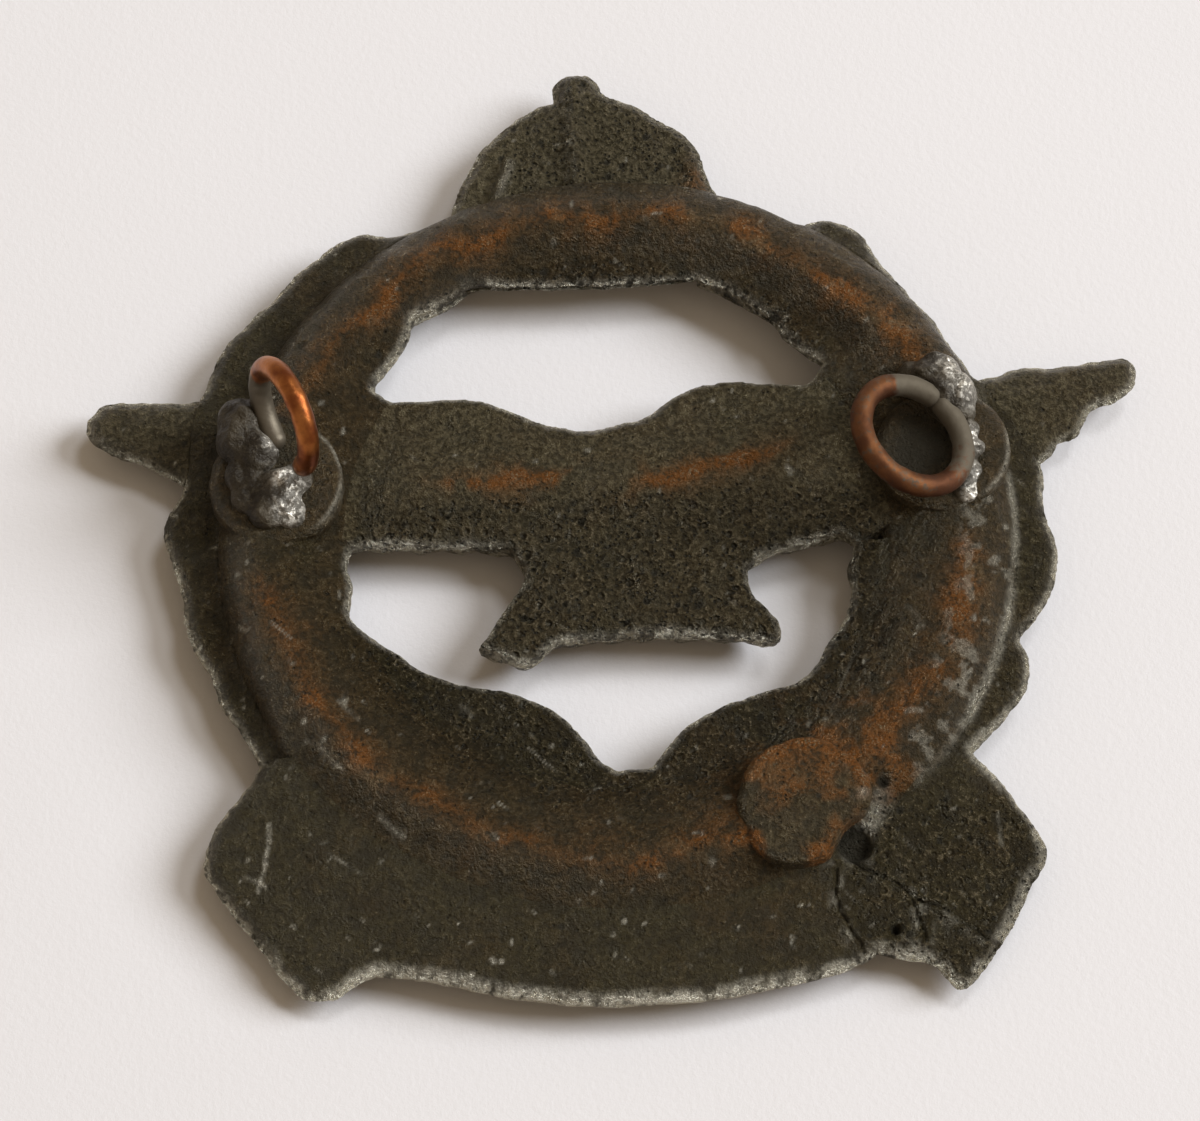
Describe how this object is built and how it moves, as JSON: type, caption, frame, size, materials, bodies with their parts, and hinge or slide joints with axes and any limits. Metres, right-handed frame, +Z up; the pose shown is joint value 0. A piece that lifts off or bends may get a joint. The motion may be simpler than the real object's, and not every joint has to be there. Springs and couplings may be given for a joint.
{
  "type": "cap badge",
  "caption": "Cap badge lying face down, old bronzed casting with a ribbed ring, spread bird, crown, wreath and scroll, two copper wire lug loops and a fixing pad on the back.",
  "frame": {"origin": "centre of the badge's outline box, on the plane its front relief rests on", "axes": "+Z up out of the back, +Y toward the crown, +X across the wings to the right as seen from the back"},
  "size_m": [0.0526, 0.0504, 0.0105],
  "materials": {
    "bronzed_metal": "dark olive-brown oxidised bronze skin on a pitted casting, worn silvery on the rims and coppery on the crests",
    "copper_wire": "orange-brown copper wire with a worn gloss",
    "solder": "lumpy grey soft solder with small bright spots",
    "worn_copper": "brown oxidised plate, worn orange along its edge"
  },
  "bodies": {
    "root": {"back_ring": "bronzed_metal", "wreath_left": "bronzed_metal", "wreath_right": "bronzed_metal", "bird": "bronzed_metal", "crown": "bronzed_metal", "scroll_band": "bronzed_metal", "scroll_end_left": "bronzed_metal", "scroll_end_right": "bronzed_metal", "lug_foot_left": "bronzed_metal", "lug_foot_right": "bronzed_metal", "lug_loop_left": "copper_wire", "lug_loop_right": "copper_wire", "solder_left": "solder", "solder_right": "solder", "fixing_pad": "worn_copper"}
  },
  "joints": []
}
